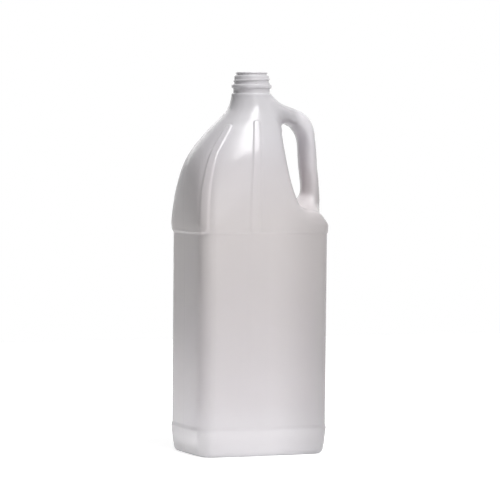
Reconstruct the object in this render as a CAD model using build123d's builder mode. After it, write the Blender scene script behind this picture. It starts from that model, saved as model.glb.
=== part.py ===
from build123d import *
from math import cos, radians, sin, tan
import os

# Plastic jug, blown in one piece: a straight rectangular body, a shoulder that leans into
# an off-centre pouring side, a hollow handle with a finger gap, and an open screw neck.
# Origin at the centre of the base, +Z up, -X the pouring side, +X the handle side.
# Lengths are in millimetres and angles in degrees.

wall = 1.2

# Body panels
panel_length = 144.4
panel_depth = 97.1
panel_corner = 16.2
panel_slope = 3.0           # turn of a crowned side between its middle and its corner
panel_taper = 0.27          # narrowing of each side towards the base

# Base
base_tuck = 2.6             # narrowing of the band towards the floor
base_edge = 5.0
band_height = 27.5
band_proud = 0.9
band_ledge = 2.4
push_up = 5.0               # rise of the hollow under the base
foot_ring = 13.0            # from the panel's outline in to the hollow
push_up_corner = 12.0
push_up_slope = 6.0         # how far the sides of that hollow lean in

# Ledge and bulge between panel and shoulder
ledge_height = 226.7
ledge_step = 0.6
bulge_rise = 8.9
bulge_proud = 1.6

# Neck
collar_height = 370.0
collar_radius = 20.6
collar_edge = 1.6
collar_step = 0.2           # from the blown body in to the moulded neck
neck_radius = 18.8
neck_length = 4.9
bead_radius = 20.6
bead_height = 4.4
bead_edge = 1.4
finish_radius = 17.8        # cylinder that carries the screw thread
finish_length = 8.2
waist_radius = 15.8
waist_length = 1.4
lip_radius = 16.4
lip_length = 2.6
lip_edge = 0.7
bore_radius = 14.4

# Handle
handle_reach = 75.0         # from the neck's axis to the handle's back
handle_thickness = 17.4
handle_width = 30.9

bulge_height = ledge_height + bulge_rise
collar_base = collar_height - collar_edge
shoulder_rise = collar_base - bulge_height
bulge_half_length = panel_length / 2 + bulge_proud
bulge_half_depth = panel_depth / 2 + bulge_proud

# Level sections, first of the ledge's roof at the handle's foot, then of the shoulder up to the
# collar: shares of the rise, of the nose, the flank and the depth between collar and bulge,
# then the corner radii at nose and flank as shares of the collar's radius, and the turn in
# degrees of the sides. The roof's last section is the shoulder's first.
roof_shares = [
    (0.000, 1.000, 1.000, 1.000, 0.86, 0.86, 3.0),
    (0.006, 1.001, 0.985, 1.000, 0.86, 0.86, 3.0),
    (0.014, 1.002, 0.945, 1.000, 0.87, 0.87, 3.1),
    (0.024, 1.003, 0.860, 0.999, 0.88, 0.88, 3.3),
    (0.035, 1.005, 0.755, 0.998, 0.89, 0.90, 3.6),
    (0.048, 1.006, 0.655, 0.997, 0.91, 0.92, 3.8),
    (0.063, 1.008, 0.585, 0.995, 0.92, 0.95, 4.0),
    (0.083, 1.009, 0.523, 0.991, 0.94, 0.98, 4.4),
]
shoulder_shares = [
    (0.115, 1.011, 0.465, 0.984, 0.96, 1.00, 5.2),
    (0.184, 1.010, 0.380, 0.965, 1.02, 1.02, 7.0),
    (0.284, 0.997, 0.304, 0.927, 1.10, 1.08, 9.6),
    (0.398, 0.951, 0.251, 0.854, 1.17, 1.15, 12.7),
    (0.529, 0.833, 0.211, 0.732, 1.23, 1.20, 16.0),
    (0.651, 0.625, 0.185, 0.554, 1.23, 1.20, 19.0),
    (0.743, 0.424, 0.165, 0.376, 1.16, 1.14, 21.5),
    (0.805, 0.263, 0.140, 0.254, 1.08, 1.08, 22.0),
    (0.851, 0.147, 0.105, 0.167, 1.02, 1.02, 22.0),
    (0.889, 0.074, 0.064, 0.098, 0.98, 0.98, 22.0),
    (0.931, 0.029, 0.029, 0.045, 0.98, 0.98, 22.0),
    (0.969, 0.007, 0.007, 0.010, 1.00, 1.00, 22.0),
    (1.000, 0.000, 0.000, 0.000, 0.98, 0.98, 22.0),
]

# Centre line of the handle from inside the neck to inside the bulge, as shares of its reach
# and of the shoulder's rise, and the shares of its thickness and width along that line.
handle_line_shares = [
    (0.082, 0.930),
    (0.340, 0.886),
    (0.577, 0.842),
    (0.785, 0.742),
    (0.845, 0.480),
    (0.878, 0.220),
    (0.838, 0.110),
    (0.776, -0.020),
]
handle_end_run = 0.3        # inward run of the line's end for each unit of fall
handle_start_slope = 14.0   # fall of the line where it leaves the neck
handle_girth_shares = [
    (0.00, 1.15, 1.20),
    (0.12, 1.08, 1.14),
    (0.24, 0.96, 1.07),
    (0.33, 1.14, 1.04),
    (0.42, 1.08, 1.01),
    (0.54, 1.04, 1.00),
    (0.66, 1.03, 1.00),
    (0.78, 1.04, 1.00),
    (0.86, 1.20, 1.10),
    (0.93, 1.55, 1.75),
    (1.00, 1.70, 2.50),
]


def part_way(low, high, share):
    """Value that lies a share of the way from low to high."""
    return low + (high - low) * share


def quarter_oval(reach, depth, corner, slope):
    """Quarter outline from (reach, 0) to (0, depth): end arc, corner arc and side arc, all tangent."""
    turn = radians(slope)
    pull = tan(turn / 2)
    along = reach - corner * (cos(turn) - sin(turn))
    across = depth - corner * (cos(turn) - sin(turn))
    side_chord = (along - pull * across) / (1 - pull**2)
    end_chord = across - pull * side_chord
    with BuildLine() as quarter:
        end = JernArc((reach, 0), (0, 1), end_chord / sin(turn), slope)
        bend = JernArc(end @ 1, end % 1, corner, 90 - 2 * slope)
        JernArc(bend @ 1, bend % 1, side_chord / sin(turn), slope)
    return quarter.line


def level_section(height, nose, flank, depth, nose_corner, flank_corner, slope):
    """Level outline of the jug, the same on both sides of the parting plane, in twelve arcs."""
    with BuildLine() as outline:
        add(quarter_oval(flank, depth, flank_corner, slope))
        mirror(quarter_oval(nose, depth, nose_corner, slope), about=Plane.YZ)
        mirror(about=Plane.XZ)
    return Face(outline.wire()).moved(Location((0, 0, height)))


def panel_section(height, proud, inset):
    """Section of the straight body, standing proud of the tapered panel."""
    lean = panel_taper * (ledge_height - height) / ledge_height
    spread = proud - lean - inset
    half_length = panel_length / 2 + spread
    half_depth = panel_depth / 2 + spread
    corner = panel_corner + spread
    return level_section(height, half_length, half_length, half_depth, corner, corner, panel_slope)


def base_section(height, margin):
    """Section of the hollow under the base, a margin inside the panel's outline."""
    half_length = panel_length / 2 - margin
    half_depth = panel_depth / 2 - margin
    corner = push_up_corner
    return level_section(height, half_length, half_length, half_depth, corner, corner, panel_slope)


def shoulder_section(shares, inset):
    """Section of the shoulder at one row of the table."""
    up, nose, flank, depth, nose_corner, flank_corner, slope = shares
    return level_section(
        part_way(bulge_height - inset, collar_base, up),
        part_way(collar_radius, bulge_half_length, nose) - inset,
        part_way(collar_radius, bulge_half_length, flank) - inset,
        part_way(collar_radius, bulge_half_depth, depth) - inset,
        collar_radius * nose_corner - inset,
        collar_radius * flank_corner - inset,
        slope,
    )


def handle_line():
    """Centre line of the handle on the parting plane."""
    places = [
        (handle_reach * along, 0, part_way(bulge_height, collar_base, up))
        for along, up in handle_line_shares
    ]
    start = (cos(radians(handle_start_slope)), 0, -sin(radians(handle_start_slope)))
    with BuildLine() as line:
        Spline(*places, tangents=[start, (-handle_end_run, 0, -1)])
    return line.edge()


def handle_section(line, shares, inset):
    """Oval section across the handle at a share of its line."""
    along, thickness, width = shares
    with BuildSketch(Plane(origin=line @ along, x_dir=(0, 1, 0), z_dir=line % along)) as oval:
        Ellipse(handle_width / 2 * width - inset, handle_thickness / 2 * thickness - inset)
    return oval.sketch


def blown_form(inset):
    """Solid form of the jug up to its collar, drawn inside the true one by the inset."""
    panels = [
        panel_section(inset, -base_tuck, inset),
        panel_section(band_height, band_proud, inset),
        panel_section(band_height + band_ledge, 0, inset),
        panel_section(ledge_height, 0, inset),
    ]
    levels = [shoulder_section(shares, inset) for shares in shoulder_shares]
    roof = [panel_section(ledge_height, ledge_step, inset)]
    roof += [shoulder_section(shares, inset) for shares in roof_shares]
    roof.append(levels[0])
    line = handle_line()
    stations = [handle_section(line, shares, inset) for shares in handle_girth_shares]
    hollow = [
        base_section(inset, foot_ring - inset),
        base_section(push_up + inset, foot_ring + push_up_slope - inset),
    ]
    with BuildPart() as form:
        loft(sections=panels, ruled=True)
        fillet(form.edges().group_by(Axis.Z)[0], radius=base_edge - inset)
        loft(sections=hollow, ruled=True, mode=Mode.SUBTRACT)
        loft(sections=roof, ruled=True)
        loft(sections=levels)
        loft(sections=stations)
    return form.part


def rim_corner(profile, height):
    """Outermost corner of the neck's half section at one height."""
    return profile.vertices().filter_by_position(Axis.Y, height, height).sort_by(Axis.X)[-1]


def neck_profile():
    """Half section of the neck's outside, from the collar up to the lip."""
    bead_base = collar_height + neck_length
    thread_base = bead_base + bead_height
    thread_top = thread_base + finish_length
    lip_base = thread_top + waist_length
    lip_top = lip_base + lip_length
    with BuildSketch(Plane.XZ) as profile:
        with BuildLine():
            Polyline(
                (0, collar_base),
                (collar_radius - collar_step, collar_base),
                (collar_radius - collar_step, collar_height),
                (neck_radius, collar_height),
                (neck_radius, bead_base),
                (bead_radius, bead_base),
                (bead_radius, thread_base),
                (finish_radius, thread_base),
                (finish_radius, thread_top),
                (waist_radius, lip_base),
                (lip_radius, lip_base),
                (lip_radius, lip_top),
                (0, lip_top),
                close=True,
            )
        make_face()
        fillet(rim_corner(profile, collar_height), radius=collar_edge)
        fillet(rim_corner(profile, bead_base), radius=bead_edge)
        fillet(rim_corner(profile, thread_base), radius=bead_edge)
        fillet(rim_corner(profile, lip_top), radius=lip_edge)
    return profile.sketch


with BuildPart() as jug_body:
    add(blown_form(0))
    revolve(neck_profile(), axis=Axis.Z)
    add(blown_form(wall), mode=Mode.SUBTRACT)
    with Locations((0, 0, collar_height - neck_length)):
        upright = (Align.CENTER, Align.CENTER, Align.MIN)
        Cylinder(bore_radius, shoulder_rise, align=upright, mode=Mode.SUBTRACT)

jug_body.part.label = "jug_body"
os.makedirs("parts", exist_ok=True)
export_step(jug_body.part, "parts/jug_body.step")
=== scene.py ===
import math

import bmesh
import bpy
from mathutils import Matrix, Vector
from mathutils.kdtree import KDTree


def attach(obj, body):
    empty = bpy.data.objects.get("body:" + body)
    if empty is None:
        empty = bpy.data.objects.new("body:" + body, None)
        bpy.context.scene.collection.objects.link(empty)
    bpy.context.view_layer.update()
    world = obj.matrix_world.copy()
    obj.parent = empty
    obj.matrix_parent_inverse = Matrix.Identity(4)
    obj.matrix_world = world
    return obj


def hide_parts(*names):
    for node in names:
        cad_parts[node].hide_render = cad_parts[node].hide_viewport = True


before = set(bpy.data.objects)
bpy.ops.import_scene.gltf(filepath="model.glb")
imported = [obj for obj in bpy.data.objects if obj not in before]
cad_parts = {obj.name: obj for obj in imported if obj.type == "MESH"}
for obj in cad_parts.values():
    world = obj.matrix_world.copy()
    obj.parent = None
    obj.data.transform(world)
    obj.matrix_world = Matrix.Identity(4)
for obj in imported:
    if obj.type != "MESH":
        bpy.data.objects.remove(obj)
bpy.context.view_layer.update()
print("frame loaded")

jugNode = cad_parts["jug_body"]

# How near a level, a cut or another vertex counts as on it.
levelSlack = 1e-5
cutSlack = 1e-7
sameSpot = 1e-6


def meshObject(name, bm):
    mesh = bpy.data.meshes.new(name)
    bm.to_mesh(mesh)
    bm.free()
    made = bpy.data.objects.new(name, mesh)
    bpy.context.scene.collection.objects.link(made)
    return made


def allParts(bm):
    return bm.verts[:] + bm.edges[:] + bm.faces[:]


def keepBetween(bm, low, high):    # cuts away what lies under or over two levels
    for height, way in ((low, -1), (high, 1)):
        bmesh.ops.bisect_plane(
            bm, geom=allParts(bm), dist=cutSlack, plane_co=(0, 0, height), plane_no=(0, 0, way),
            clear_outer=True,
        )


def islands(bm):    # groups of vertices that hang together
    left = set(bm.verts)
    groups = []
    while left:
        seed = left.pop()
        group = {seed}
        front = [seed]
        while front:
            near = [e.other_vert(v) for v in front for e in v.link_edges]
            front = [v for v in set(near) if v in left]
            left.difference_update(front)
            group.update(front)
        groups.append(group)
    return groups


def openLoop(bm, height, side):    # open edges at a height, on one side of the wall
    def onSide(vert):
        return abs(vert.co.z - height) < levelSlack and vert[wallSide] == side

    return [e for e in bm.edges if e.is_boundary and all(onSide(v) for v in e.verts)]


def neighboursOf(verts):
    return {v: [e.other_vert(v) for e in v.link_edges] for v in verts}


def middleOf(verts):
    return sum((v.co for v in verts), Vector()) / len(verts)


def smoothStep(low, high, value):
    share = min(1, max(0, (value - low) / (high - low)))
    return share * share * (3 - 2 * share)


def between(table, key):    # value at a key of a table of (key, value) rows in rising order
    for (lowKey, low), (highKey, high) in zip(table, table[1:]):
        if key <= highKey:
            share = max(0, (key - lowKey) / (highKey - lowKey))
            return low + (high - low) * share
    return table[-1][1]


# Shoulder and handle: the frame's outer skin, remeshed so that the handle's roots can flow.
shoulder = {
    "low": 0.2310,          # cut through the bulge, under which the walls are straight
    "high": 0.3664,         # cut under the collar
    "spare": 0.0020,        # kept past each cut while remeshing
    "voxel": 0.00150,
    "evenSteps": 4,
    "evenShare": 0.5,
    "rootReach": 0.010,     # how far from a crease the blend runs
    "rootCore": 0.35,       # share of that reach with the full blend
    "rootShare": 0.5,       # how far a vertex moves to its neighbours' middle in one step
    "rootBend": 0.00006,    # hollow bend that counts as a crease
    "rootSteps": 60,
    "rootClear": (0.2400, 0.3640),
    "wall": 0.0012,
}

bm = bmesh.new()
bm.from_mesh(jugNode.data)
bmesh.ops.remove_doubles(bm, verts=bm.verts, dist=sameSpot)
keepBetween(bm, shoulder["low"] - shoulder["spare"], shoulder["high"] + shoulder["spare"])
skins = sorted(islands(bm), key=lambda group: max(abs(v.co.y) for v in group))
bmesh.ops.delete(bm, geom=[v for group in skins[:-1] for v in group], context="VERTS")
bmesh.ops.holes_fill(bm, edges=[e for e in bm.edges if e.is_boundary], sides=0)
bmesh.ops.triangulate(bm, faces=[f for f in bm.faces if len(f.verts) > 4])
rough = meshObject("shoulderRough", bm)
remesh = rough.modifiers.new("even", "REMESH")
remesh.mode = "VOXEL"
remesh.voxel_size = shoulder["voxel"]
evened = rough.evaluated_get(bpy.context.evaluated_depsgraph_get())
bm = bmesh.new()
bm.from_mesh(evened.to_mesh())
bpy.data.objects.remove(rough)
keepBetween(bm, shoulder["low"], shoulder["high"])
print("shoulder remeshed", len(bm.faces))

for step in range(shoulder["evenSteps"]):
    bmesh.ops.smooth_vert(
        bm, verts=[v for v in bm.verts if not v.is_boundary], factor=shoulder["evenShare"],
        use_axis_x=True, use_axis_y=True, use_axis_z=True,
    )
bm.normal_update()


def inCrease(vert):    # the neighbours' middle stands out of the surface there
    low, high = shoulder["rootClear"]
    if vert.co.x <= 0 or not low < vert.co.z < high or vert.is_boundary:
        return False
    bend = middleOf([e.other_vert(vert) for e in vert.link_edges]) - vert.co
    return bend.dot(vert.normal) > shoulder["rootBend"]


# Blend the roots: vertices near a hollow crease are eased, most at the crease itself.
creases = [v.co.copy() for v in bm.verts if inCrease(v)]
creaseTree = KDTree(len(creases))
for index, place in enumerate(creases):
    creaseTree.insert(place, index)
creaseTree.balance()
shares = {}
for vert in bm.verts:
    if vert.co.x > 0 and not vert.is_boundary:
        away = creaseTree.find(vert.co)[2]
        if away is not None and away < shoulder["rootReach"]:
            blend = 1 - smoothStep(shoulder["rootCore"], 1, away / shoulder["rootReach"])
            shares[vert] = shoulder["rootShare"] * blend
rings = neighboursOf(shares)
for step in range(shoulder["rootSteps"]):
    eased = {v: v.co.lerp(middleOf(rings[v]), share) for v, share in shares.items()}
    for vert, place in eased.items():
        vert.co = place

# Heel: the roof beside the handle's foot rises more steeply from its rim.
heel = {
    "halfLength": 0.0738, "halfDepth": 0.0501, "corner": 0.0178,    # the bulge's outline
    "rise": 0.0085,
    "inward": (0.0, 0.0130),     # the rise comes in over these distances from the outline,
    "along": (0.034, 0.058),     # and over these places along X,
    "fade": (0.2460, 0.2720),    # and goes out over these heights
}


def insetFrom(place):    # level distance in from the bulge's rounded outline
    along = abs(place.x) - heel["halfLength"] + heel["corner"]
    across = abs(place.y) - heel["halfDepth"] + heel["corner"]
    if along > 0 and across > 0:
        return heel["corner"] - math.hypot(along, across)
    return heel["corner"] - max(along, across)


for vert in bm.verts:
    if vert.co.x > heel["along"][0] and not vert.is_boundary:
        share = smoothStep(*heel["inward"], insetFrom(vert.co))
        share *= smoothStep(*heel["along"], vert.co.x)
        share *= 1 - smoothStep(*heel["fade"], vert.co.z)
        vert.co.z += heel["rise"] * share

# Handle: its two edges are evened by level, and the corner over the finger gap is filled.
handle = {
    "startX": (0.046, 0.051),    # between these the moves come in
    "thick": 0.018,
    "levels": [    # height, handle's middle, then how far its inner and outer edges move along X
        (0.2380, 0.0640, 0.0000, 0.0000), (0.2500, 0.0645, 0.0003, 0.0014),
        (0.2600, 0.0650, 0.0008, 0.0012), (0.2750, 0.0655, 0.0010, -0.0003),
        (0.2890, 0.0645, 0.0011, 0.0000), (0.3010, 0.0635, 0.0009, 0.0002),
        (0.3120, 0.0625, 0.0003, -0.0010), (0.3240, 0.0610, 0.0000, -0.0020),
        (0.3350, 0.0590, -0.0004, -0.0008), (0.3430, 0.0580, 0.0000, 0.0000),
    ],
    "corner": (0.0345, 0.3380),    # X and Z of the finger gap's top corner, seen from the side
    "cornerReach": 0.0135,
    "cornerMove": Vector((0.0052, 0, -0.0058)),
}
heights, *columns = zip(*handle["levels"])
middles, inners, outers = [list(zip(heights, column)) for column in columns]
for vert in bm.verts:
    x, y, z = vert.co
    if x > handle["startX"][0] and heights[0] < z < heights[-1]:
        share = smoothStep(-handle["thick"] / 2, handle["thick"] / 2, x - between(middles, z))
        move = between(inners, z) * (1 - share) + between(outers, z) * share
        vert.co.x += move * smoothStep(*handle["startX"], x)
    away = math.hypot(x - handle["corner"][0], z - handle["corner"][1])
    if away < handle["cornerReach"]:
        vert.co += handle["cornerMove"] * (1 - smoothStep(0, handle["cornerReach"], away))

# Webs at the handle's top root: the wall only ever moves out there.
webs = {
    "steps": 60,
    "everySteps": 6,    # the normals are worked out again after so many
    "core": 0.5,        # share of the reach with the full move
    "share": 0.5,
    "places": [    # each with its reach
        ((0.0370, 0.0, 0.3400), 0.017),
        ((0.0320, 0.0, 0.3640), 0.017),
    ],
}
webVerts = {}
for place, reach in webs["places"]:
    for vert in bm.verts:
        away = (vert.co - Vector(place)).length
        if away < reach and not vert.is_boundary:
            share = webs["share"] * (1 - smoothStep(webs["core"], 1, away / reach))
            webVerts[vert] = max(share, webVerts.get(vert, 0))
rings = neighboursOf(webVerts)
for step in range(webs["steps"]):
    if step % webs["everySteps"] == 0:
        bm.normal_update()
    moves = {}
    for vert, share in webVerts.items():
        move = (middleOf(rings[vert]) - vert.co) * share
        rise = move.dot(vert.normal)
        moves[vert] = move if rise > 0 else move - vert.normal * rise
    for vert, move in moves.items():
        vert.co += move
print("roots blended", len(creases), len(shares), len(webVerts))

# Straight body: the open rings under the bulge are drawn down level by level, the outer skin's
# with the ledge and the band, and the inner skin's a wall's thickness inside it.
body = {
    "halfDepth": 0.04855,
    "shortest": 0.0004,    # shorter edges of the open rings are merged first
    "outer": [    # height, and how far the skin stands proud of the panel
        (0.2298, 0.00110), (0.2288, 0.00100), (0.2282, 0.00090), (0.2277, 0.00065),
        (0.2267, 0.00012), (0.2262, 0.00000), (0.2250, 0.00000),    # the ledge
        (0.1300, -0.00012), (0.0320, -0.00023), (0.0308, -0.00023),
        (0.0301, -0.00010), (0.0282, 0.00050), (0.0274, 0.00068), (0.0262, 0.00066),    # the band
        (0.0100, -0.00125), (0.0060, -0.00185), (0.0040, -0.00235), (0.0022, -0.00330),
        (0.0008, -0.00480), (0.0001, -0.00650), (0.0000, -0.00760),    # round the base edge
    ],
    "outerHollow": [    # height, then share of the last ring's length and depth
        (0.0000, 0.916, 0.868), (0.0005, 0.985, 0.980),
        (0.0044, 0.920, 0.860), (0.0050, 0.980, 0.970),
    ],
    "inner": [
        (0.2290, -0.00040), (0.2250, -0.00120), (0.0320, -0.00143), (0.0290, -0.00120),
        (0.0258, -0.00060), (0.0100, -0.00250), (0.0060, -0.00320), (0.0036, -0.00420),
        (0.0020, -0.00590), (0.0012, -0.00880),
    ],
    "innerHollow": [
        (0.0012, 0.895, 0.835), (0.0017, 0.985, 0.980),
        (0.0056, 0.920, 0.860), (0.0062, 0.980, 0.970),
    ],
}


def ringVerts(loop):
    return list(dict.fromkeys(v for e in loop for v in e.verts))


def partsOf(kind, parts):
    return [part for part in parts if isinstance(part, kind)]


def drawLoop(bm, loop, height, spread):    # draws an open ring to a height, and out by the spread
    made = bmesh.ops.extrude_edge_only(bm, edges=loop)["geom"]
    fresh = partsOf(bmesh.types.BMEdge, made)
    for vert in ringVerts(fresh):
        vert.co += vert[wayOut] * spread
        vert.co.z = height
    return fresh


def drawBody(bm, loop, levels, hollow):
    proud = max(v.co.y for v in ringVerts(loop)) - body["halfDepth"]
    for height, nextProud in levels:
        loop = drawLoop(bm, loop, height, nextProud - proud)
        proud = nextProud
    for height, longShare, deepShare in hollow:
        loop = drawLoop(bm, loop, height, 0)
        bmesh.ops.scale(bm, verts=ringVerts(loop), vec=(longShare, deepShare, 1))
    bmesh.ops.holes_fill(bm, edges=loop, sides=0)


def levelNormal(vert):
    return Vector((vert.normal.x, vert.normal.y, 0)).normalized()


wayOut = bm.verts.layers.float_vector.new("wayOut")
wallSide = bm.verts.layers.int.new("wallSide")    # 0 on the outer skin, 1 on the inner one
for height in (shoulder["low"], shoulder["high"]):
    bmesh.ops.remove_doubles(bm, verts=ringVerts(openLoop(bm, height, 0)), dist=body["shortest"])
bm.normal_update()
for vert in ringVerts(openLoop(bm, shoulder["low"], 0)):
    vert[wayOut] = levelNormal(vert)
copied = bmesh.ops.duplicate(bm, geom=allParts(bm))["geom"]
for vert in partsOf(bmesh.types.BMVert, copied):
    outward = levelNormal(vert) if vert.is_boundary else vert.normal
    vert.co -= outward * shoulder["wall"]
    vert[wallSide] = 1
bmesh.ops.reverse_faces(bm, faces=partsOf(bmesh.types.BMFace, copied))
drawBody(bm, openLoop(bm, shoulder["low"], 0), body["outer"], body["outerHollow"])
print("outside drawn", len(bm.faces))

# Raised ribs on both wide sides, down the shoulder to just above the ledge: one over the rounded
# corner at the pouring side, one near the middle. Their edges soften on the way down.
ribs = {
    "proud": 0.0009,
    "edge": [    # height, and the width of the slope beside the rib
        (0.2500, 0.0040), (0.2900, 0.0028), (0.3200, 0.0016),
    ],
    "fine": 0.0022,                     # how far from the edge's middle the skin is divided
    "zone": (0.004, 0.2280, 0.3460),    # highest X, then lowest and highest Z
    "smoothParts": 4,
    "corner": [    # places down the middle of the rib, and its half width there
        (-0.0338, 0.0206, 0.3350, 0.0031), (-0.0430, 0.0252, 0.3230, 0.0034),
        (-0.0528, 0.0292, 0.3085, 0.0037), (-0.0600, 0.0336, 0.2915, 0.0041),
        (-0.0653, 0.0371, 0.2710, 0.0046), (-0.0683, 0.0404, 0.2500, 0.0050),
        (-0.0690, 0.0414, 0.2335, 0.0052),
    ],
    "middle": [
        (-0.0062, 0.0285, 0.3390, 0.0032), (-0.0072, 0.0318, 0.3312, 0.0036),
        (-0.0098, 0.0382, 0.3140, 0.0042), (-0.0122, 0.0439, 0.2917, 0.0047),
        (-0.0148, 0.0482, 0.2614, 0.0051), (-0.0156, 0.0494, 0.2335, 0.0053),
    ],
}


def smoothRows(rows):    # the same places with more between them, on a smooth line
    places = [Vector(row) for row in rows]
    places = [places[0] * 2 - places[1]] + places + [places[-1] * 2 - places[-2]]
    made = []
    for before, start, end, after in zip(places, places[1:], places[2:], places[3:]):
        for part in range(ribs["smoothParts"]):
            t = part / ribs["smoothParts"]
            slope = end - before
            bend = before * 2 - start * 5 + end * 4 - after
            turn = start * 3 - before - end * 3 + after
            made.append(start + (slope * t + bend * t ** 2 + turn * t ** 3) / 2)
    return made + [places[-2]]


ribLines = [smoothRows(ribs["corner"]), smoothRows(ribs["middle"])]


def nearestRib(place):    # distance from the nearest rib's sloping edge, below zero on the rib
    folded = Vector((place.x, abs(place.y), place.z))
    nearest = 1
    for line in ribLines:
        for start, end in zip(line, line[1:]):
            run = (end - start).xyz
            share = min(1, max(0, (folded - start.xyz).dot(run) / run.length_squared))
            away = (folded - start.xyz - run * share).length
            nearest = min(nearest, away - start.w - (end.w - start.w) * share)
    return nearest


def ribSkin():
    highestX, low, high = ribs["zone"]
    outer = [v for v in bm.verts if v[wallSide] == 0]
    return [v for v in outer if v.co.x < highestX and low < v.co.z < high]


onEdge = [v for v in ribSkin() if abs(nearestRib(v.co)) < ribs["fine"]]
edges = dict.fromkeys(e for v in onEdge for f in v.link_faces for e in f.edges)
bmesh.ops.subdivide_edges(bm, edges=list(edges), cuts=1, use_grid_fill=True)
bm.normal_update()
moves = []
for vert in ribSkin():
    half = between(ribs["edge"], vert.co.z) / 2
    share = 1 - smoothStep(-half, half, nearestRib(vert.co))
    moves.append((vert, vert.normal * ribs["proud"] * share))
for vert, move in moves:
    vert.co += move
print("ribs raised", len(bm.faces))

drawBody(bm, openLoop(bm, shoulder["low"], 1), body["inner"], body["innerHollow"])
print("inside drawn", len(bm.faces))

# Neck: drawn up from the collar, over the lip and down the bore.
neck = {
    "collar": [    # radius and height, as in each row below
        (0.02060, 0.3685), (0.02045, 0.3691), (0.02010, 0.3696), (0.01950, 0.36993),
        (0.01895, 0.3700), (0.01880, 0.3702), (0.01880, 0.3746), (0.01890, 0.3748),
    ],
    "bead": [
        (0.01920, 0.3749), (0.01990, 0.37505), (0.02035, 0.3755), (0.02060, 0.3762),
        (0.02060, 0.3779), (0.02035, 0.3787), (0.01990, 0.3791), (0.01920, 0.37928),
    ],
    "finish": [
        (0.01820, 0.37935), (0.01785, 0.3795), (0.01780, 0.3798), (0.01780, 0.3872),
        (0.01765, 0.3876), (0.01590, 0.3888), (0.01562, 0.3892), (0.01565, 0.3897),
    ],
    "lip": [
        (0.01610, 0.3901), (0.01635, 0.3904), (0.01635, 0.3909), (0.01620, 0.3913),
        (0.01580, 0.3915), (0.01475, 0.3915), (0.01447, 0.3914), (0.01440, 0.3911),
    ],
    "bore": [(0.01440, 0.3690), (0.01455, 0.3680), (0.01560, 0.3671)],
}
loop = openLoop(bm, shoulder["high"], 0)
for radius, height in neck["collar"] + neck["bead"] + neck["finish"] + neck["lip"] + neck["bore"]:
    loop = drawLoop(bm, loop, height, 0)
    for vert in ringVerts(loop):
        vert.co.xy = vert.co.xy.normalized() * radius
bmesh.ops.bridge_loops(bm, edges=loop + openLoop(bm, shoulder["high"], 1))
bmesh.ops.recalc_face_normals(bm, faces=bm.faces)
jug = meshObject("jug", bm)
jug.data.shade_smooth()
print("neck drawn", len(jug.data.polygons))

# Screw thread: a small profile spun up the finish, its foot just inside the wall.
thread = {
    "root": 0.0177, "crest": 0.01868,             # radii
    "footHalf": 0.00125, "crestHalf": 0.00045,    # half heights of the profile
    "footRise": 0.0002,                           # straight start of its flanks
    "bevelOut": 0.0001, "bevelIn": 0.0002,        # bevel past and short of the crest's half height
    "turns": 1.55, "pitch": 0.0047, "stepsPerTurn": 72,
    "startTurn": 262, "startHeight": 0.37895,
}
topHalf = [    # radius, and height over the profile's middle
    (thread["crest"], thread["crestHalf"] - thread["bevelIn"]),
    (thread["crest"] - thread["bevelOut"], thread["crestHalf"] + thread["bevelOut"]),
    (thread["root"] + thread["footRise"], thread["footHalf"]),
    (thread["root"], thread["footHalf"]),
]
corners = [(radius, -rise) for radius, rise in reversed(topHalf)] + topHalf
turned = Matrix.Rotation(math.radians(thread["startTurn"]), 4, "Z")
bm = bmesh.new()
places = [turned @ Vector((radius, 0, thread["startHeight"] + rise)) for radius, rise in corners]
bm.faces.new([bm.verts.new(place) for place in places])
bmesh.ops.spin(
    bm, geom=allParts(bm), cent=(0, 0, 0), axis=(0, 0, 1),
    dvec=(0, 0, thread["pitch"] / thread["stepsPerTurn"]), angle=math.tau * thread["turns"],
    steps=round(thread["turns"] * thread["stepsPerTurn"]), use_merge=False, use_duplicate=False,
)
bmesh.ops.recalc_face_normals(bm, faces=bm.faces)
screwThread = meshObject("screwThread", bm)
screwThread.data.shade_smooth()
print("thread spun", len(screwThread.data.polygons))


def shaderNode(tree, kind, **values):    # a node with its inputs set, by input name
    node = tree.nodes.new(kind)
    for name, value in values.items():
        node.inputs[name].default_value = value
    return node


def joined(tree, operation, *parts):    # a Math node's result, of sockets and plain numbers
    made = tree.nodes.new("ShaderNodeMath")
    made.operation = operation
    for socket, part in zip(made.inputs, parts):
        if isinstance(part, (int, float)):
            socket.default_value = part
        else:
            tree.links.new(part, socket)
    return made.outputs["Value"]


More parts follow.
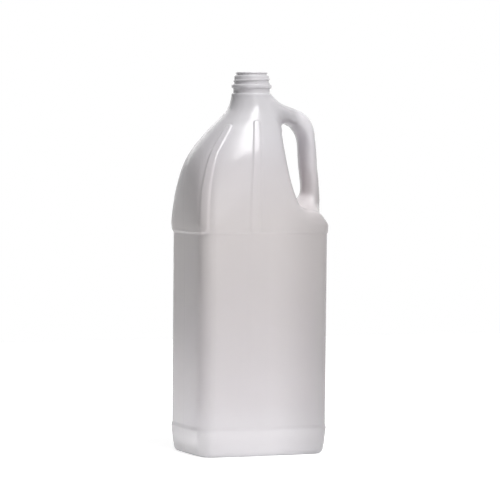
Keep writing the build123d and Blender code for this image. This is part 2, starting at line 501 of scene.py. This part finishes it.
# Milky polythene: a soft sheen, faint clouds where the wall is thicker, die lines down the body, an
# orange peel too fine to see one by one, and the mould's parting line. Its base colour also carries
# painted light and shade, by place and by height.
plastic = {
    "thin": (0.930, 0.930, 0.930, 1),
    "thick": (0.905, 0.905, 0.905, 1),
    "heightTints": [    # Z, and the cast there: warm on the panels, lilac above and at the floor
        (0.005, (0.990, 0.965, 1.000)), (0.060, (1.000, 0.950, 0.985)),
        (0.220, (1.020, 0.930, 0.915)), (0.290, (1.000, 0.945, 0.975)),
        (0.340, (0.985, 0.965, 1.020)),
    ],
    "paintedShadeByHeight": [    # Z, and the painted shade there, with painted light near the floor where the floor's bounce falls
        (0.003, 1.00), (0.013, 0.87), (0.028, 0.77), (0.053, 0.705),
        (0.103, 0.675), (0.153, 0.690), (0.205, 0.765), (0.240, 0.785),
    ],
    "paintedShadeAcross": (0.000, 0.075, 0.00, 0.33),       # two places in X, and how far the painted shade darkens towards the handle side
    "paintedShadeShareUp": (0.225, 0.275, 1.00, 0.60),    # two heights, and the share of that painted shade
    "paintedLightOnHandle": (0.040, 0.052, 0.00, 0.42),       # two places in X, and how far painted light lifts the handle
    "paintedLightShareAcross": (0.057, 0.074, 1.00, -0.35),      # the share of that painted light across the handle, below zero a painted shade at its outer side,
    "paintedLightShareUp": (0.240, 0.262, 0.00, 1.00),       # and at two heights
    "cloudsPerMetre": 14,
    "cloudEdges": (0.35, 0.65),     # noise at which the wall counts as thick and as thin
    "cloudDetail": 3, "cloudRoughness": 0.45,
    "fineDetail": 2, "fineRoughness": 0.5,
    "peelPerMetre": 620,
    "linesPerMetre": 420,
    "linesDown": 12,                # the same down the body, so that the lines run long
    "linesRange": (0.3, 0.7),
    "roughness": (0.17, 0.22),
    "partingHalf": (0.00015, 0.00055),    # half widths of the parting line's top and foot
    "partingRise": 0.00012,
    "peelRise": 0.000012,
    "linesRise": 0.000006,
    "subsurface": 0.20,
    "scatter": 0.004,
}


def byHeight(tree, height, rows):    # a colour ramp over rows of Z and colour
    ramp = tree.nodes.new("ShaderNodeValToRGB")
    ramp.color_ramp.interpolation = "B_SPLINE"
    stops = ramp.color_ramp.elements
    while len(stops) < len(rows):
        stops.new(1)
    for stop, (z, colour) in zip(stops, rows):
        stop.position = z / rows[-1][0]
        stop.color = (*colour, 1)
    tree.links.new(joined(tree, "DIVIDE", height, rows[-1][0]), ramp.inputs["Fac"])
    return ramp.outputs["Color"]


def noise(tree, place, perMetre, detail, roughness):
    made = shaderNode(
        tree, "ShaderNodeTexNoise", Scale=perMetre, Detail=detail, Roughness=roughness,
    )
    tree.links.new(place, made.inputs["Vector"])
    return made.outputs["Fac"]


def mapped(tree, value, source, target, way="LINEAR"):    # a Map Range node's result
    limits = dict(zip(("From Min", "From Max", "To Min", "To Max"), (*source, *target)))
    made = shaderNode(tree, "ShaderNodeMapRange", **limits)
    made.interpolation_type = way
    tree.links.new(value, made.inputs["Value"])
    return made.outputs["Result"]


def multiplied(tree, kind, first, second):    # a colour times another one, or times a number
    made = tree.nodes.new("ShaderNodeVectorMath")
    made.operation = kind
    tree.links.new(first, made.inputs[0])
    tree.links.new(second, made.inputs["Scale"] if kind == "SCALE" else made.inputs[1])
    return made.outputs["Vector"]


def makePlastic():
    material = bpy.data.materials.new("milkyPolythene")
    material.use_nodes = True
    tree = material.node_tree
    link = tree.links.new
    shader = tree.nodes["Principled BSDF"]
    place = tree.nodes.new("ShaderNodeTexCoord").outputs["Object"]

    clouds = noise(
        tree, place, plastic["cloudsPerMetre"], plastic["cloudDetail"], plastic["cloudRoughness"],
    )
    tint = tree.nodes.new("ShaderNodeValToRGB")
    stops = tint.color_ramp.elements
    stops[0].position, stops[1].position = plastic["cloudEdges"]
    stops[0].color = plastic["thick"]
    stops[1].color = plastic["thin"]
    link(clouds, tint.inputs["Fac"])
    across = tree.nodes.new("ShaderNodeSeparateXYZ")
    link(place, across.inputs["Vector"])
    paintedLightMaps = {}
    for axis, key in (
        ("X", "paintedShadeAcross"), ("Z", "paintedShadeShareUp"),
        ("X", "paintedLightOnHandle"), ("X", "paintedLightShareAcross"), ("Z", "paintedLightShareUp"),
    ):
        limits = plastic[key]
        paintedLightMaps[key] = mapped(tree, across.outputs[axis], limits[:2], limits[2:], "SMOOTHSTEP")
    # Painted shade towards the handle side, less of it up the shoulder, and painted light on the
    # handle.
    fall = joined(tree, "MULTIPLY", paintedLightMaps["paintedShadeAcross"], paintedLightMaps["paintedShadeShareUp"])
    rise = joined(tree, "MULTIPLY", paintedLightMaps["paintedLightOnHandle"], paintedLightMaps["paintedLightShareAcross"])
    # What the colour keeps after the painted shade, plus the painted light on the handle.
    kept = joined(tree, "SUBTRACT", 1, fall)
    kept = joined(tree, "MULTIPLY_ADD", rise, paintedLightMaps["paintedLightShareUp"], kept)
    height = across.outputs["Z"]
    # Painted light and shade by height, then a colour cast by height.
    shade = byHeight(tree, height, [(z, (grey, grey, grey)) for z, grey in plastic["paintedShadeByHeight"]])
    cast = byHeight(tree, height, plastic["heightTints"])
    toned = multiplied(tree, "MULTIPLY", tint.outputs["Color"], cast)
    shaded = multiplied(tree, "SCALE", toned, joined(tree, "MULTIPLY", kept, shade))
    link(shaded, shader.inputs["Base Color"])

    stretch = (1, 1, plastic["linesDown"] / plastic["linesPerMetre"])
    drawn = shaderNode(tree, "ShaderNodeMapping", Scale=stretch)
    link(place, drawn.inputs["Vector"])
    fine = plastic["fineDetail"], plastic["fineRoughness"]
    lines = noise(tree, drawn.outputs["Vector"], plastic["linesPerMetre"], *fine)
    sheen = mapped(tree, lines, plastic["linesRange"], plastic["roughness"])
    link(sheen, shader.inputs["Roughness"])

    peel = noise(tree, place, plastic["peelPerMetre"], *fine)
    grain = joined(tree, "MULTIPLY", peel, plastic["peelRise"])
    grain = joined(tree, "MULTIPLY_ADD", lines, plastic["linesRise"], grain)
    fromParting = joined(tree, "ABSOLUTE", across.outputs["Y"])
    parting = mapped(tree, fromParting, plastic["partingHalf"], (plastic["partingRise"], 0))
    bump = shaderNode(tree, "ShaderNodeBump", Strength=1, Distance=1)
    link(joined(tree, "ADD", grain, parting), bump.inputs["Height"])
    link(bump.outputs["Normal"], shader.inputs["Normal"])

    shader.inputs["Subsurface Weight"].default_value = plastic["subsurface"]
    shader.inputs["Subsurface Radius"].default_value = (1, 1, 1)
    shader.inputs["Subsurface Scale"].default_value = plastic["scatter"]
    return material


polythene = makePlastic()
for piece in (jug, screwThread):
    piece.data.materials.append(polythene)
    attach(piece, "root")
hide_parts("jug_body")

# White floor and surroundings, with soft boxes over, before and behind the jug, and two small
# lamps that wash the floor beside it.
studio = {
    "floorSize": 3.0,
    "paper": 0.90,
    "paperRoughness": 0.9,
    "paperGlow": 0.72,    # what the camera sees the paper shine by, so that it runs into the white
    "world": 0.06,
    "white": (1, 1, 1, 1),
    "lamps": {    # width, height, watts, spread in degrees, place and what it points at
        "top": (1.4, 1.4, 9, 180, (0.0, -0.3, 2.2), (0, 0, 0.2)),
        "key": (0.56, 1.22, 23, 180, (0.22, -1.14, 1.72), (0, 0, 0.3)),
        "front": (1.2, 1.0, 5, 180, (0.1, -2.6, 0.9), (0, 0, 0.2)),
        "frontLeft": (1.0, 1.0, 0.6, 180, (-0.9, -2.4, 0.9), (0, 0, 0.2)),
        "back": (1.4, 1.0, 4, 180, (0.0, 2.2, 1.2), (0, 0, 0.2)),
        "washLeft": (0.06, 0.15, 0.14, 35, (-0.15, 0.0, 0.16), (-0.15, 0.0, 0)),
        "washFront": (0.30, 0.10, 0.25, 40, (0.0, -0.18, 0.28), (0.0, -0.18, 0)),
    },
}


def seenDirectly(tree):    # 1 for the camera, reflections and what is seen through, else 0
    path = tree.nodes.new("ShaderNodeLightPath").outputs
    either = joined(tree, "MAXIMUM", path["Is Camera Ray"], path["Is Glossy Ray"])
    return joined(tree, "MAXIMUM", either, path["Is Transmission Ray"])


bm = bmesh.new()
bmesh.ops.create_grid(bm, x_segments=1, y_segments=1, size=studio["floorSize"] / 2)
floor = meshObject("floor", bm)
paper = bpy.data.materials.new("whitePaper")
paper.use_nodes = True
tree = paper.node_tree
sheet = tree.nodes["Principled BSDF"]
sheet.inputs["Base Color"].default_value = (studio["paper"], studio["paper"], studio["paper"], 1)
sheet.inputs["Roughness"].default_value = studio["paperRoughness"]
sheet.inputs["Emission Color"].default_value = studio["white"]
glow = joined(tree, "MULTIPLY", seenDirectly(tree), studio["paperGlow"])
tree.links.new(glow, sheet.inputs["Emission Strength"])
floor.data.materials.append(paper)

world = bpy.data.worlds.new("studio")
world.use_nodes = True
bpy.context.scene.world = world
tree = world.node_tree
room = tree.nodes["Background"]
room.inputs["Color"].default_value = studio["white"]
room.inputs["Strength"].default_value = studio["world"]
white = shaderNode(tree, "ShaderNodeBackground", Color=studio["white"], Strength=1)
choice = tree.nodes.new("ShaderNodeMixShader")
tree.links.new(seenDirectly(tree), choice.inputs["Fac"])
tree.links.new(room.outputs["Background"], choice.inputs[1])
tree.links.new(white.outputs["Background"], choice.inputs[2])
tree.links.new(choice.outputs["Shader"], tree.nodes["World Output"].inputs["Surface"])

for name, (width, height, watts, spread, place, aim) in studio["lamps"].items():
    lamp = bpy.data.lights.new(name, "AREA")
    lamp.shape = "RECTANGLE"
    lamp.size = width
    lamp.size_y = height
    lamp.energy = watts
    lamp.spread = math.radians(spread)
    holder = bpy.data.objects.new(name, lamp)
    bpy.context.scene.collection.objects.link(holder)
    holder.visible_camera = False
    holder.location = place
    holder.rotation_euler = (Vector(aim) - Vector(place)).to_track_quat("-Z", "Y").to_euler()

# Camera, where the photograph was taken from.
view = {
    "turn": math.radians(23.31), "fall": math.radians(2.39), "roll": math.radians(0.52),
    "distance": 3.002, "height": 0.334, "lens": 209.9, "sensor": 36,
}
cameraData = bpy.data.cameras.new("camera")
cameraData.lens = view["lens"]
cameraData.sensor_width = view["sensor"]
camera = bpy.data.objects.new("camera", cameraData)
bpy.context.scene.collection.objects.link(camera)
bpy.context.scene.camera = camera
turn, fall, roll = view["turn"], view["fall"], view["roll"]
ahead = Vector((math.sin(turn) * math.cos(fall), math.cos(turn) * math.cos(fall), -math.sin(fall)))
right = Vector((math.cos(turn), -math.sin(turn), 0))
up = right.cross(ahead)
tiltedRight = right * math.cos(roll) + up * math.sin(roll)
tiltedUp = up * math.cos(roll) - right * math.sin(roll)
placed = Matrix((tiltedRight, tiltedUp, -ahead)).transposed().to_4x4()
away = view["distance"]
placed.translation = (-away * math.sin(turn), -away * math.cos(turn), view["height"])
camera.matrix_world = placed

bpy.context.scene.view_settings.view_transform = "Standard"
print("studio set")
